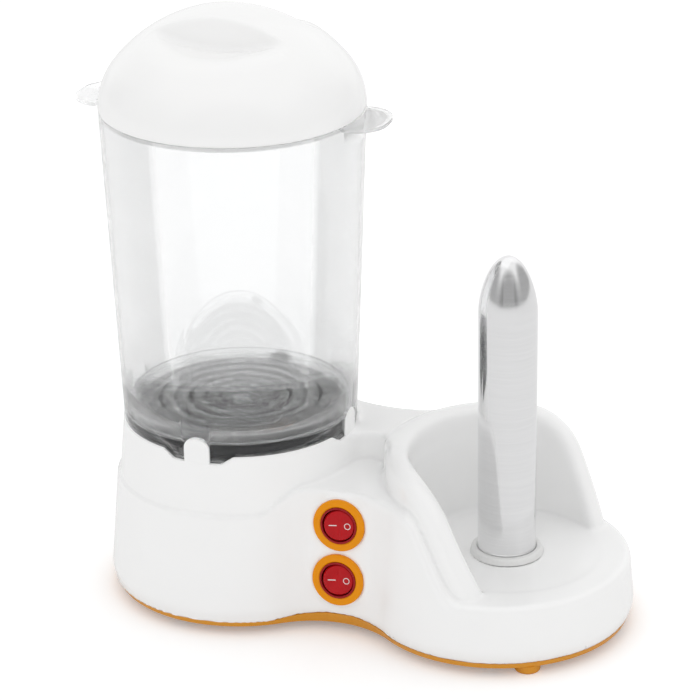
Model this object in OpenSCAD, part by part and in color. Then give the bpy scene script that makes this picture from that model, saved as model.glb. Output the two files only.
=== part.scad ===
// Hot dog maker: a steam vessel and a heated bread spike on one two-lobed housing.
// Millimetres, +Z up, front at -Y. Origin: bottom centre of the bounding box, on the ground.

/* [Plan of the housing] */
// Radius of each round lobe at its widest level
lobe_r = 72.5; // [70:0.5:76]
// Distance between the vessel axis and the axis of the bread lobe
lobe_gap = 145; // [141:1:156]
// Half width of the waist between the two lobes
waist_half = 47.5; // [44:0.5:52]
// How far the walls lean in, per millimetre of height
wall_slope = 0.09; // [0.07:0.01:0.1]
// Wall thickness of the moulded housing
wall = 2.5; // [2:0.1:3]
// How far the spike stands outwards from the centre of its lobe
spike_shift = 5; // [2:0.5:7]

/* [Levels of the housing] */
// Height of the feet under the base plate
foot_h = 4.5; // [3.5:0.5:8]
// Height of the coloured edge of the base plate
plate_edge = 3; // [2.5:0.25:4]
// Height of the widest level above the lower edge of the housing
bulge_h = 5; // [4.5:0.5:8]
// How far the lower edge is drawn in below the widest level
edge_in = 2; // [1:0.25:3]
// Rise of the lower edge at the waist
arch_h = 3.5; // [2:0.25:4]
// Height of the deck round the spike
deck_z = 39; // [37:0.5:43]
// Height of the shoulder under the steam turret
shoulder_z = 67.5; // [64:0.5:71]
// Height of the shelf over the switches
shelf_z = 80; // [79.5:0.5:85]
// Height of the bridge between turret and bread shield
bridge_z = 95; // [91:0.5:95.2]
// Height of the bread shield at its back
shield_z = 98.5; // [94:0.5:104]
// Height of the vessel seat on the turret
seat_z = 100; // [99:0.5:106]

/* [Bread shield] */
// Inner radius of the bread shield about the spike
shield_in = 51; // [48:0.5:53]
// Outer radius of the bread shield about the spike
shield_out = 64; // [61:0.5:66]
// Direction of the back of the shield, in degrees from +X
shield_turn = 160; // [150:1:170]
// How far in front of the spike axis the arms of the shield end on the deck
arm_end = 23.5; // [18:0.5:27]
// Steepness of the arms, in degrees
arm_angle = 63; // [58:1:68]

/* [Steam vessel] */
// Outer radius of the vessel at its seat
skirt_r = 62.5; // [60:0.25:64]
// Outer radius of the vessel at its rim
rim_r = 69.7; // [66:0.25:73]
// Height of the vessel from seat to rim
vessel_h = 172; // [150:1:190]
// Wall thickness of the clear vessel
vessel_wall = 2.2; // [1.8:0.1:2.6]
// Reach of the two lifting tabs from the vessel axis
tab_reach = 86; // [82:0.5:92]
// Width of the lifting tabs
tab_w = 38; // [30:1:46]
// Thickness of the lifting tabs
tab_t = 2; // [1.5:0.25:3]
// Width of the notches that turn-lock the vessel on the turret
notch_w = 12.5; // [10:0.5:15]
// Height of the notches above the seat
notch_h = 9.5; // [7.5:0.25:9.5]
// How far the notch cheeks hang below the seat
cheek_h = 4; // [2:0.25:4.5]
// Number of notches
notch_n = 4; // [3:1:4]

/* [Lid] */
// Height of the lid dome
lid_h = 52.5; // [48:0.5:60]
// Radius of the rounded flank of the dome
lid_flank_r = 37; // [30:1:40]
// Wall thickness of the lid
lid_wall = 2.4; // [2:0.1:3]
// Half width of the grip bar across the dome
grip_half = 15; // [12:0.5:18]
// Height of the scooped floor beside the grip bar
scoop_h = 34.5; // [31:0.5:37]
// Radius of the scooped floor
scoop_r = 105; // [90:5:200]
// How far the scooped floor climbs outwards, in degrees
scoop_tilt = 4; // [0:0.5:7]
// Depth of the lid's locating lip inside the vessel
lip_h = 3; // [2:0.5:8]

/* [Spike] */
// Radius of the heated spike
spike_r = 15.4; // [13:0.2:16.5]
// Height of the straight part of the spike above the deck
spike_straight = 137; // [110:1:150]
// Height of the tapered tip of the spike
spike_tip = 30; // [22:1:40]
// Wall thickness of the spike tube
spike_wall = 1.6; // [1.2:0.1:2]
// Height of the collar round the foot of the spike
collar_h = 4; // [3:0.25:6]

/* [Switches] */
// Height of the upper switch
upper_switch_z = 62.5; // [61.5:0.5:64]
// Height of the lower switch
lower_switch_z = 32; // [29:0.5:32.5]
// Outer radius of the coloured trim rings
trim_r = 14.2; // [13:0.1:14.6]
// Radius of the switch barrel
case_r = 10; // [9.6:0.1:10.4]
// Ball radius of the rocker
rocker_r = 8.7; // [8.2:0.1:8.7]
// Rocker tilt to each side, in degrees
rocker_tilt = 10; // [7:1:12]
// How far the flat switch pad stands proud of the waist
pad_proud = 2; // [1.5:0.25:2.5]

/* [Water dish] */
// Width of the dish flange outside the basin
flange_w = 6.5; // [6.5:0.25:10]
// Depth of the basin floor below the dish flange
basin_depth = 6; // [4:0.5:8]
// Height of the dish wall above the flange
dish_wall_h = 6.1; // [4:0.1:6.5]
// Sheet thickness of the dish
dish_t = 1.2; // [1:0.1:1.5]
// Radius of the heating ring
ring_r = 31; // [26:0.5:33]
// Tube radius of the heating ring
tube_r = 4; // [3:0.25:4]

/* [Clear tray] */
// Thickness of the perforated tray
tray_t = 1.8; // [1.5:0.1:2.4]
// Number of ring slots in the tray
slot_n = 5; // [3:1:5]
// Number of spokes in the tray
spoke_n = 6; // [4:1:8]
// Turn of the tray about its axis, in degrees
tray_turn = 16; // [0:1:60]

/* [Hidden] */
$fn = 96;

// Gap between pieces that lift apart, gap of a running pin, and overlap of a cut
slack = 0.3;
run = 0.05;
cut = 1;

// Plan positions
vessel_x = -(lobe_gap + lobe_r - tab_reach) / 2;
lobe_x = vessel_x + lobe_gap;
spike_x = lobe_x + spike_shift;
waist_x = vessel_x + lobe_gap / 2;
waist_r = (pow(lobe_gap / 2, 2) + pow(waist_half, 2) - pow(lobe_r, 2)) / (2 * (lobe_r - waist_half));
waist_c = waist_half + waist_r;

// Half length of the raised edge at the waist
arch_half = 34;

// Levels
plate_z = foot_h;
edge_z = foot_h + plate_edge;
bulge_z = edge_z + bulge_h;
rim_z = seat_z + vessel_h;
function lean(z) = wall_slope * (z - bulge_z);

// Turret and dish seat
turret_r = skirt_r + 0.5;
turret_step = lobe_r - lean(seat_z) - turret_r;
ledge_z = seat_z - 4;
ledge_t = 2.5;
dish_bore = skirt_r - vessel_wall - 1.3;
dish_r = dish_bore - 0.5;
basin_r = dish_r - flange_w;
seal_t = 2;
flange_z = ledge_z + seal_t;
dish_floor = flange_z - basin_depth;
dish_under = dish_floor - dish_t;
boss_r = 4;
clamp_rad = basin_r + 0.25 + boss_r;

// Cove between turret and shield, and the back of the bridge
shield_x0 = spike_x - shield_out;
cove_r = (shield_x0 - vessel_x - turret_r) / 2;
cove_x = vessel_x + turret_r + cove_r;
cove_y = -9;
back_half = waist_half - lean(shelf_z) - 1.5;
back_gap = spike_x - vessel_x;
back_in = 0.4;
back_r1 = turret_r - back_in;
back_r2 = shield_out - back_in;
back_fr = (pow(back_gap / 2, 2) + pow(back_half, 2) - pow(back_r1, 2)) / (2 * (back_r1 - back_half));
back_cx = (pow(back_gap, 2) - pow(back_r2 + back_fr, 2) + pow(back_r1 + back_fr, 2)) / (2 * back_gap);
back_cy = sqrt(pow(back_r1 + back_fr, 2) - pow(back_cx, 2));

// Switch panel
panel_lean = atan(wall_slope);
function panel_y(z) = -(waist_half - lean(z)) - pad_proud;
hole_r = case_r + 1.2;
bore_r = rocker_r + slack;
pivot_z = -1.5;
trunnion_r = 1.2;
ring_face = 2;

// Screw posts and feet
post_r = 4.5;
post_rad = lobe_r - wall - post_r;
left_posts = [100, 180, 260];
right_posts = [-75, 0, 75];
screw_r = 1.7;
left_feet = [133, 227];
right_feet = [-58, 58];
left_foot_rad = lobe_r - 20.5;
right_foot_rad = lobe_r - 9.5;
foot_r = 6.8;
stud_r = 2.2;

// Spike foot: the root inside the collar is a little thicker than the exposed tube
root_r = spike_r + 0.2;
collar_r = spike_r + 4.1;
neck_r = spike_r + 2.8;
neck_z = deck_z - wall - 4;
spike_flange_t = 2;
bracket_z = neck_z - spike_flange_t;
bracket_t = 2;
bracket_rad = neck_r + 9.8;
heater_r = spike_r - spike_wall - 5.8;
heater_top = deck_z + spike_straight - 25;

// Cord entry at the back of the waist
gland_z = edge_z + arch_h + 8;
gland_r = 6;
cord_r = 3.6;
gland_y = waist_half - lean(gland_z);
// Outer flange of the gland, clear of the wall that curves and leans behind it
gland_out_r = gland_r + 2.5;
gland_lift = waist_r - sqrt(max(0, pow(waist_r, 2) - pow(gland_out_r, 2))) + 4 * wall_slope;

// Tray inside the vessel
ledge_in_z = seat_z + 6;
ledge_in_t = 2;
tray_z = ledge_in_z + ledge_in_t;
tray_r = skirt_r - vessel_wall - 1.6;
slot_w = 2.4;
slot_pitch = (tray_r - 15.6 - 11) / max(slot_n - 1, 1);

// Lid profile centres: a rounded flank and a flatter crown that meet without a step
crown_r = (pow(rim_r - lid_flank_r, 2) + pow(lid_h, 2) - pow(lid_flank_r, 2)) / (2 * (lid_h - lid_flank_r));
flank_x = rim_r - lid_flank_r;

function ease(t) = (1 - cos(180 * t)) / 2;

// Two round lobes joined by a waist that runs tangent into both, drawn in by in0 below and in1 above
module two_lobes(z0, z1, in0, in1) {
  for (x = [vessel_x, lobe_x])
    translate([x, 0, z0]) cylinder(h = z1 - z0, r1 = lobe_r - in0, r2 = lobe_r - in1);
  difference() {
    translate([0, 0, z0]) linear_extrude(z1 - z0)
      polygon([[vessel_x, 0], [waist_x, -waist_c], [lobe_x, 0], [waist_x, waist_c]]);
    for (s = [-1, 1]) translate([waist_x, s * waist_c, z0])
      cylinder(h = z1 - z0, r1 = waist_r + in0, r2 = waist_r + in1);
  }
}

// Height line of the lower body: shoulder, shelf over the switches, deck
module height_line(g) {
  rise_x = vessel_x + 30 + g;
  fall_x = spike_x - 38 - g;
  rotate([90, 0, 0]) linear_extrude(4 * lobe_r, center = true) polygon(concat(
    [[vessel_x - 2 * lobe_r, -cut], [vessel_x - 2 * lobe_r, shoulder_z - g]],
    [for (i = [0:10]) [rise_x + 22 * i / 10, shoulder_z - g + (shelf_z - shoulder_z) * ease(i / 10)]],
    [for (i = [0:12]) [fall_x + 34 * i / 12, shelf_z - g - (shelf_z - deck_z) * ease(i / 12)]],
    [[lobe_x + 2 * lobe_r, deck_z - g], [lobe_x + 2 * lobe_r, -cut]]));
}

// Side line of the shield arms: a slope from the deck that rounds over into the top
module arm_line(g) {
  rise = shield_z - deck_z;
  round_r = rise * 0.67;
  round_h = round_r * (1 - cos(arm_angle));
  slope_run = (rise - round_h) / tan(arm_angle);
  u0 = -arm_end + g * 1.1;
  polygon(concat(
    [[u0 - (10 + g) / tan(arm_angle), deck_z - 10 - g]],
    [for (i = [0:9]) [u0 + slope_run + round_r * (sin(arm_angle) - sin(arm_angle * (1 - i / 9))),
      shield_z - g - round_r * (1 - cos(arm_angle * (1 - i / 9)))]],
    [[2 * lobe_r, shield_z - g], [2 * lobe_r, deck_z - 10 - g]]));
}

// Curved wall round the bread, standing on the deck
module shield(g) {
  intersection() {
    translate([spike_x, 0, 0]) rotate_extrude() {
      translate([shield_in + g, deck_z - wall - g]) square([shield_out - shield_in - 2 * g,
        shield_z - deck_z + wall + g - 4]);
      translate([shield_in + 4, deck_z]) square([shield_out - shield_in - 8, shield_z - deck_z - g]);
      for (x = [shield_in + 4, shield_out - 4]) translate([x, shield_z - 4]) circle(r = 4 - g);
    }
    translate([spike_x, 0, 0]) rotate([0, 0, shield_turn]) rotate([90, 0, 0])
      linear_extrude(4 * lobe_r, center = true) arm_line(g);
  }
}

// Bridge behind the cove, its back wall running tangent from turret to shield
module bridge(g) {
  a1 = atan2(back_cy, back_cx);
  a2 = atan2(back_cy, back_cx - back_gap);
  translate([vessel_x, 0, deck_z - wall]) linear_extrude(bridge_z - g - deck_z + wall) polygon(concat(
    [[back_r1 * cos(a1), cove_y + g]],
    [for (i = [0:16]) let (a = 180 + a1 + (a2 - a1) * i / 16)
      [back_cx + (back_fr + g) * cos(a), back_cy + (back_fr + g) * sin(a)]],
    [[back_gap + back_r2 * cos(a2), cove_y + g]]));
}

// Moulded body, drawn in by g: g = 0 is the outside, g = wall the inside
module body_form(g) {
  top = g > 0 ? ledge_z - ledge_t : seat_z;
  difference() {
    union() {
      intersection() {
        union() {
          two_lobes(edge_z - (g > 0 ? cut : 0), bulge_z, edge_in + g, g);
          two_lobes(bulge_z, shelf_z + cut, g, g + lean(shelf_z + cut));
        }
        height_line(g);
      }
      translate([vessel_x, 0, deck_z]) cylinder(h = top - deck_z, r1 = turret_r - g
        + wall_slope * (seat_z - deck_z), r2 = turret_r - g + wall_slope * (seat_z - top));
      difference() {
        bridge(g);
        translate([cove_x, cove_y, shelf_z - g]) cylinder(h = 2 * shelf_z, r = cove_r + g);
      }
      shield(g);
    }
    difference() {
      translate([spike_x, 0, deck_z - g]) cylinder(h = 2 * shield_z, r = shield_in + g);
      if (g > 0) translate([spike_x, 0, deck_z - g - cut]) cylinder(h = cut, r = shield_in);
    }
  }
}

// Prism of a side view drawn in the tangent and height plane, pointing outwards from the vessel axis
module radial(a, r0, r1) {
  rotate([0, 0, a]) translate([r0, 0, 0]) rotate([90, 0, 90]) linear_extrude(r1 - r0) children();
}

// Hanging cheeks beside a notch
module cheek_view(g) {
  w = notch_w / 2 + 6.5;
  top_w = w + 6.5 + 6.5 * cut / cheek_h;
  polygon([[-top_w - g, seat_z + cut], [top_w + g, seat_z + cut],
    [w + g, seat_z - cheek_h - g], [-w - g, seat_z - cheek_h - g]]);
}

// Arched notch, or the key that fills it
module notch_view(g) {
  translate([-notch_w / 2 + g, seat_z - cheek_h - 2 * cut]) square([notch_w - 2 * g,
    cheek_h + 2 * cut + notch_h - notch_w / 2]);
  translate([0, seat_z + notch_h - notch_w / 2]) circle(r = notch_w / 2 - g);
}

module tube(r0, r1, z0, z1) {
  translate([0, 0, z0]) difference() {
    cylinder(h = z1 - z0, r = r1);
    translate([0, 0, -cut]) cylinder(h = z1 - z0 + 2 * cut, r = r0);
  }
}

// Places a piece on the switch panel: its own +Z points out of the panel
module on_panel(z) {
  translate([waist_x, panel_y(z), z]) rotate([90 - panel_lean, 0, 0]) children();
}

module posts(h_left, h_right, r, z0) {
  for (a = left_posts) translate([vessel_x + post_rad * cos(a), post_rad * sin(a), z0])
    cylinder(h = h_left, r = r);
  for (a = right_posts) translate([lobe_x + post_rad * cos(a), post_rad * sin(a), z0])
    cylinder(h = h_right, r = r);
}

// White moulded housing with waist, deck and bread shield. It is one moulding with the turret, and is
// kept as two solids that meet face to face.
module upper_housing() color([0.93, 0.93, 0.92]) difference() {
  moulding();
  turret_zone();
}
// Turret of the same moulding, which holds the dish and carries the vessel
module housing_turret() color([0.93, 0.93, 0.92]) intersection() {
  moulding();
  turret_zone();
}
// Space of the turret, from just above the shoulder
module turret_zone() translate([vessel_x, 0, shoulder_z + 0.5])
  cylinder(h = 2 * seat_z, r = turret_r + wall_slope * (seat_z - shoulder_z) + 2);
// The whole moulding
module moulding() {
  notch_step = 360 / notch_n;
  key_r0 = skirt_r - vessel_wall + 0.15;
  difference() {
    union() {
      difference() {
        union() {
          body_form(0);
          // Flat pad for the two switches
          switch_pad();
        }
        body_form(wall);
        // Dish bore and ledge opening
        translate([vessel_x, 0, ledge_z]) cylinder(h = seat_z, r = dish_bore);
        translate([vessel_x, 0, ledge_z - ledge_t - cut]) cylinder(h = seat_z, r = basin_r + 0.6);
        // Pockets for the cheeks of the vessel
        translate([vessel_x, 0, 0]) intersection() {
          tube(dish_bore + 1, turret_r + 5, seat_z - cheek_h - cut, seat_z + cut);
          for (i = [0:notch_n - 1])
            radial(-90 + i * notch_step, dish_bore / 2, turret_r + 6) cheek_view(slack);
        }
        // Raised lower edge at the waist
        translate([waist_x, 0, edge_z + arch_h - arch_r()]) rotate([90, 0, 0])
          cylinder(h = 4 * lobe_r, r = arch_r(), center = true, $fn = 200);
        // Spike opening in the deck
        translate([spike_x, 0, deck_z - wall - cut]) cylinder(h = wall + 2 * cut, r = neck_r + run);
        // Slot of the cord gland, open at the lower edge
        translate([waist_x, 0, 0]) rotate([-90, 0, 0]) translate([0, 0, gland_y - 8]) linear_extrude(16) {
          translate([0, -gland_z]) circle(r = gland_r + run);
          translate([-gland_r - run, -gland_z]) square([2 * (gland_r + run), gland_z]);
        }
      }
      // Keys that stand in the notches of the vessel
      translate([vessel_x, 0, 0]) intersection() {
        tube(key_r0, skirt_r - 0.1, seat_z - cheek_h - 2 * cut, seat_z + notch_h);
        for (i = [0:notch_n - 1]) radial(-90 + i * notch_step, dish_bore, turret_r + 6) notch_view(slack);
      }
      // Posts for the base screws, and bosses for the dish clamp and the spike bracket
      intersection() {
        posts(shoulder_z - 22 - edge_z, deck_z - wall / 2 - edge_z, post_r, edge_z);
        two_lobes(edge_z, shelf_z, edge_in, edge_in + lean(shelf_z));
      }
      translate([vessel_x, 0, dish_under]) clamp_holes()
        cylinder(h = ledge_z - ledge_t / 2 - dish_under, r = boss_r);
      translate([spike_x, 0, bracket_z]) bracket_holes()
        cylinder(h = deck_z - wall / 2 - bracket_z, r = boss_r);
    }
    // Switch holes, and the flat seats of the coloured rings
    for (z = [upper_switch_z, lower_switch_z]) on_panel(z) {
      translate([0, 0, -9]) cylinder(h = 14, r = hole_r);
      translate([0, 0, run]) cylinder(h = 2 * trim_r, r = trim_r + slack);
    }
    posts(20, 20, screw_r + run, edge_z - cut);
    translate([vessel_x, 0, dish_under - cut]) clamp_holes() cylinder(h = 5, r = 1.25 + run);
    translate([spike_x, 0, bracket_z - cut]) bracket_holes() cylinder(h = 7, r = 1.25 + run);
  }
}

function arch_r() = (arch_half * arch_half + arch_h * arch_h) / (2 * arch_h);

// Flat pad: two discs and the bar between them, seen square to the panel
module switch_pad() {
  mid = (upper_switch_z + lower_switch_z) / 2;
  gap = (upper_switch_z - lower_switch_z) / cos(panel_lean);
  on_panel(mid) translate([0, 0, -wall - pad_proud + 0.1]) linear_extrude(wall + pad_proud - 0.1) {
    for (s = [-1, 1]) translate([0, s * gap / 2]) circle(r = trim_r + 1);
    square([2 * trim_r + 2, gap], center = true);
  }
}

module clamp_holes() {
  for (a = [30, 150, 270]) rotate([0, 0, a]) translate([clamp_rad, 0, 0]) children();
}

module bracket_holes() {
  for (a = [90, 210, 330]) rotate([0, 0, a]) translate([bracket_rad, 0, 0]) children();
}

// Coloured base plate that closes the housing from below
module base_plate() color([0.87, 0.55, 0.12]) {
  lip_in = edge_in + wall + 0.4;
  difference() {
    union() {
      two_lobes(plate_z, edge_z, edge_in + 1.2, edge_in);
      // Locating lip inside the wall
      difference() {
        two_lobes(edge_z - 0.5, edge_z + 3, lip_in, lip_in);
        two_lobes(edge_z - cut, edge_z + 3 + cut, lip_in + 1.8, lip_in + 1.8);
        posts(10, 10, post_r + slack, edge_z);
        translate([waist_x - 12, waist_half - 20, edge_z]) cube([24, 20, 10]);
      }
      // Raised edges that fill the arch at the waist
      intersection() {
        difference() {
          two_lobes(edge_z - 0.5, bulge_z, edge_in, 0);
          two_lobes(edge_z - cut, bulge_z + cut, edge_in + wall, wall);
        }
        translate([waist_x, 0, edge_z + arch_h - arch_r()]) rotate([90, 0, 0])
          cylinder(h = 4 * lobe_r, r = arch_r() - run, center = true, $fn = 200);
        translate([waist_x - arch_half + 1, -lobe_r, 0]) cube([2 * arch_half - 2, 2 * lobe_r, 2 * bulge_z]);
      }
    }
    posts(20, 20, screw_r + 0.3, plate_z - cut);
    posts(1.8 + cut, 1.8 + cut, 3.5, plate_z - cut);
    foot_places(stud_r + run, 20, plate_z - cut);
    // Vent slots under the heater
    for (i = [-3:3]) translate([vessel_x + 9 * i - 1.5, -18 + abs(i) * 2, plate_z - cut])
      cube([3, 36 - abs(i) * 4, 3 * plate_edge]);
  }
}

module foot_places(r, h, z0) {
  for (a = left_feet) translate([vessel_x + left_foot_rad * cos(a), left_foot_rad * sin(a), z0])
    cylinder(h = h, r = r);
  for (a = right_feet) translate([lobe_x + right_foot_rad * cos(a), right_foot_rad * sin(a), z0])
    cylinder(h = h, r = r);
}

// Four soft feet with a stud pressed through the plate
module feet() color([0.86, 0.52, 0.1]) {
  foot_places(foot_r - 0.8, 0.8, 0);
  foot_places(foot_r, foot_h - 0.6, 0.6);
  foot_places(stud_r, plate_edge + 1, foot_h - 0.5);
}

// Self-tapping screws of the base plate
module base_screws() color([0.6, 0.6, 0.62]) {
  posts(1.4, 1.4, 3.2, plate_z + 0.4);
  posts(17, 17, screw_r, plate_z + 1.6);
}

// Pressed heating dish under the vessel
module water_dish() color([0.3, 0.3, 0.31]) translate([vessel_x, 0, 0]) {
  difference() {
    union() {
      rotate_extrude() polygon([[0, dish_under], [basin_r, dish_under], [basin_r, flange_z],
        [dish_r, flange_z], [dish_r, flange_z + dish_wall_h + dish_t],
        [dish_r - dish_t, flange_z + dish_wall_h + dish_t],
        [dish_r - dish_t, flange_z + dish_t], [basin_r - dish_t, flange_z + dish_t],
        [basin_r - dish_t - 2, dish_floor], [0, dish_floor]]);
      tube(ring_r - tube_r + 0.5, ring_r + tube_r - 0.5, dish_under - 2.5, dish_under + dish_t / 2);
    }
    translate([0, 0, dish_under - tube_r + 0.4]) rotate_extrude()
      translate([ring_r, 0]) circle(r = tube_r + 0.02);
  }
}

// Soft ring between the dish flange and the ledge of the turret
module dish_seal() color([0.55, 0.2, 0.15]) translate([vessel_x, 0, 0])
  rotate_extrude() polygon([[basin_r + 0.7, ledge_z], [dish_r - 0.2, ledge_z], [dish_r - 0.2, flange_z],
    [basin_r + 0.7, flange_z]]);

// Steel ring that holds the dish up against its seal
module dish_clamp() color([0.7, 0.7, 0.71]) translate([vessel_x, 0, 0]) difference() {
  tube(ring_r + tube_r + 3, clamp_rad + 2.5, dish_under - 1.5, dish_under);
  translate([0, 0, dish_under - 3]) clamp_holes() cylinder(h = 5, r = 1.6);
}

module clamp_screws() color([0.6, 0.6, 0.62]) translate([vessel_x, 0, 0]) {
  translate([0, 0, dish_under - 3.5]) clamp_holes() cylinder(h = 2, r = 2.6);
  translate([0, 0, dish_under - 2]) clamp_holes() cylinder(h = 5, r = 1.25);
}

// Tubular heater brazed under the dish, with its cold ends turned down
module ring_element() color([0.45, 0.44, 0.43]) translate([vessel_x, 0, dish_under - tube_r + 0.4]) {
  difference() {
    rotate_extrude() translate([ring_r, 0]) circle(r = tube_r);
    translate([0, 0, -2 * tube_r]) linear_extrude(4 * tube_r)
      polygon([[0, 0], [4 * ring_r * cos(60), 4 * ring_r * sin(60)],
        [-4 * ring_r * cos(60), 4 * ring_r * sin(60)]]);
  }
  for (a = [120, 60]) rotate([0, 0, a]) translate([ring_r, 0, 0]) {
    translate([0, 0, -14]) cylinder(h = 14, r = tube_r - 0.5);
    translate([0, 0, -tube_r - 0.5]) cylinder(h = tube_r + 1.5, r = tube_r + 0.3);
    translate([0, 0, -21]) cylinder(h = 8, r = 1.6);
  }
}

// Disc thermostat under the centre of the dish
module thermostat() color([0.2, 0.2, 0.21]) translate([vessel_x, 0, 0]) {
  translate([0, 0, dish_under - 3]) cylinder(h = 3, r = 7.6);
  translate([0, 0, dish_under - 12]) cylinder(h = 9.5, r = 8.5);
  translate([-16, -4.5, dish_under - 4.2]) cube([32, 9, 1.2]);
  for (s = [-1, 1]) translate([s * 5 - 0.4, -2.4, dish_under - 19]) cube([0.8, 4.8, 7.5]);
}

// One-shot fuse lying against the dish, and the strap that holds it
module thermal_fuse() color([0.75, 0.72, 0.6]) translate([vessel_x, 18, dish_under - 2.05]) {
  rotate([0, 90, 0]) cylinder(h = 14, r = 2, center = true);
  rotate([0, 90, 0]) cylinder(h = 26, r = 0.5, center = true);
}

module fuse_strap() color([0.7, 0.7, 0.71]) translate([vessel_x, 18, dish_under - 2.05]) {
  difference() {
    union() {
      rotate([0, 90, 0]) cylinder(h = 6, r = 2.8, center = true);
      translate([-3, -5.5, 1.25]) cube([6, 11, 0.8]);
    }
    rotate([0, 90, 0]) cylinder(h = 8, r = 2 + run, center = true);
    translate([-4, -2.05, 0]) cube([8, 4.1, 4]);
    translate([-4, -8, 2.05]) cube([8, 16, 4]);
  }
}

// Heated metal spike for the bread: straight tube with a rounded taper
module bread_spike() color([0.8, 0.8, 0.81]) translate([spike_x, 0, 0]) rotate_extrude() {
  top = deck_z + spike_straight;
  r_in = spike_r - spike_wall;
  polygon(concat(
    [[r_in, bracket_z], [spike_r + 5, bracket_z], [spike_r + 5, bracket_z + spike_flange_t],
      [root_r, bracket_z + spike_flange_t], [root_r, deck_z + collar_h + 0.1],
      [spike_r, deck_z + collar_h + 0.3]],
    [for (i = [0:10]) [spike_r * cos(90 * i / 10), top + spike_tip * pow(sin(90 * i / 10), 1.25)]],
    [[0, top + spike_tip - 3], [r_in * 0.7, top + spike_tip * 0.55], [r_in, top]]));
}

// Heat-proof bush round the foot of the spike
module spike_collar() color([0.94, 0.94, 0.93]) translate([spike_x, 0, 0]) rotate_extrude()
  polygon([[root_r + 0.1, neck_z], [neck_r, neck_z], [neck_r, deck_z], [collar_r, deck_z],
    [collar_r, deck_z + collar_h - 1.2], [collar_r - 0.4, deck_z + collar_h - 0.35],
    [collar_r - 1.2, deck_z + collar_h], [root_r + 0.6, deck_z + collar_h],
    [root_r + 0.1, deck_z + collar_h - 0.5]]);

// Steel plate that holds the spike up against its collar
module spike_bracket() color([0.7, 0.7, 0.71]) translate([spike_x, 0, 0]) difference() {
  translate([0, 0, bracket_z - bracket_t]) cylinder(h = bracket_t, r = bracket_rad + 5);
  translate([0, 0, bracket_z - bracket_t - cut]) cylinder(h = bracket_t + 2 * cut, r = heater_r + 1.2);
  translate([0, 0, bracket_z - bracket_t - cut]) bracket_holes() cylinder(h = bracket_t + 2 * cut, r = 1.6);
}

module bracket_screws() color([0.6, 0.6, 0.62]) translate([spike_x, 0, 0]) {
  translate([0, 0, bracket_z - bracket_t - 2]) bracket_holes() cylinder(h = 2, r = 2.6);
  translate([0, 0, bracket_z - bracket_t - 0.5]) bracket_holes() cylinder(h = 7, r = 1.25);
}

// Rod heater inside the spike, with two pins below, and the ceramic plug that centres it
module spike_heater() color([0.85, 0.83, 0.78]) translate([spike_x, 0, 0]) {
  translate([0, 0, bracket_z - bracket_t - 3])
    cylinder(h = heater_top - bracket_z + bracket_t + 3, r = heater_r);
  for (s = [-1, 1]) translate([s * heater_r / 2, 0, bracket_z - bracket_t - 9]) cylinder(h = 7, r = 1);
}

module heater_plug() color([0.88, 0.85, 0.78]) translate([spike_x, 0, 0])
  tube(heater_r + run, spike_r - spike_wall - 0.1, bracket_z, bracket_z + 9);

// Coloured ring round a switch, with a neck that sits in the panel
module trim_ring(z) color([0.92, 0.53, 0.05]) on_panel(z) rotate_extrude()
  polygon([[case_r + run, -4], [hole_r - run, -4], [hole_r - run, 0], [trim_r, 0],
    [trim_r, ring_face - 0.9], [trim_r - 0.35, ring_face - 0.3], [trim_r - 1, ring_face],
    [case_r + 0.6, ring_face], [case_r + run, ring_face - 0.5]]);

module upper_trim_ring() trim_ring(upper_switch_z);
module lower_trim_ring() trim_ring(lower_switch_z);

// Barrel of a switch with the bearing of its rocker and two snap wings
module switch_case(z) color([0.4, 0.05, 0.06]) on_panel(z) difference() {
  union() {
    translate([0, 0, -17]) cylinder(h = 17 + ring_face, r = case_r);
    for (s = [-1, 1]) translate([s * (case_r + 0.4) - 1.2, -3, -9]) cube([2.4, 6, 4.7]);
  }
  translate([0, 0, pivot_z - 8.5]) cylinder(h = 20, r = bore_r);
  translate([0, 0, pivot_z]) rotate([90, 0, 0])
    cylinder(h = 4 * case_r, r = trunnion_r + run, center = true);
}

module upper_switch_case() switch_case(upper_switch_z);
module lower_switch_case() switch_case(lower_switch_z);

// Flat blades at the back of a switch
module switch_terminals(z) color([0.75, 0.65, 0.35]) on_panel(z)
  for (s = [-1, 1]) translate([s * 4.5 - 0.4, -2.4, -25]) cube([0.8, 4.8, 8]);

module upper_switch_terminals() switch_terminals(upper_switch_z);
module lower_switch_terminals() switch_terminals(lower_switch_z);

// Rocker: a ball segment with two dished halves and moulded trunnions, right half pressed in
module rocker(z) color([0.75, 0.08, 0.12]) on_panel(z)
  translate([0, 0, pivot_z]) rotate([0, rocker_tilt, 0]) {
    rise = 20 * tan(rocker_tilt);
    intersection() {
      sphere(r = rocker_r);
      rotate([90, 0, 0]) linear_extrude(4 * rocker_r, center = true)
        polygon([[0, 2.8], [20, 2.8 + rise], [20, -4], [-20, -4], [-20, 2.8 + rise]]);
    }
    rotate([90, 0, 0]) cylinder(h = 2 * (case_r - 0.2), r = trunnion_r, center = true);
  }

module upper_rocker() rocker(upper_switch_z);
module lower_rocker() rocker(lower_switch_z);

// Three-way block on the base plate where the mains lead is joined
block_x = waist_x - 17;
block_y = 12;
module terminal_block() color([0.9, 0.88, 0.82]) translate([block_x, block_y, edge_z]) difference() {
  cube([34, 16, 13]);
  for (i = [0:2]) translate([6 + 11 * i, 0, 0]) {
    translate([0, -cut, 5]) rotate([-90, 0, 0]) cylinder(h = 20, r = 2);
    for (y = [4, 12]) translate([0, y, 5]) cylinder(h = 20, r = 1.9);
  }
}

module terminal_screws() color([0.75, 0.68, 0.4]) translate([block_x, block_y, edge_z])
  for (i = [0:2], y = [4, 12]) translate([6 + 11 * i, y, 7.2]) cylinder(h = 5, r = 1.85);

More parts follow.
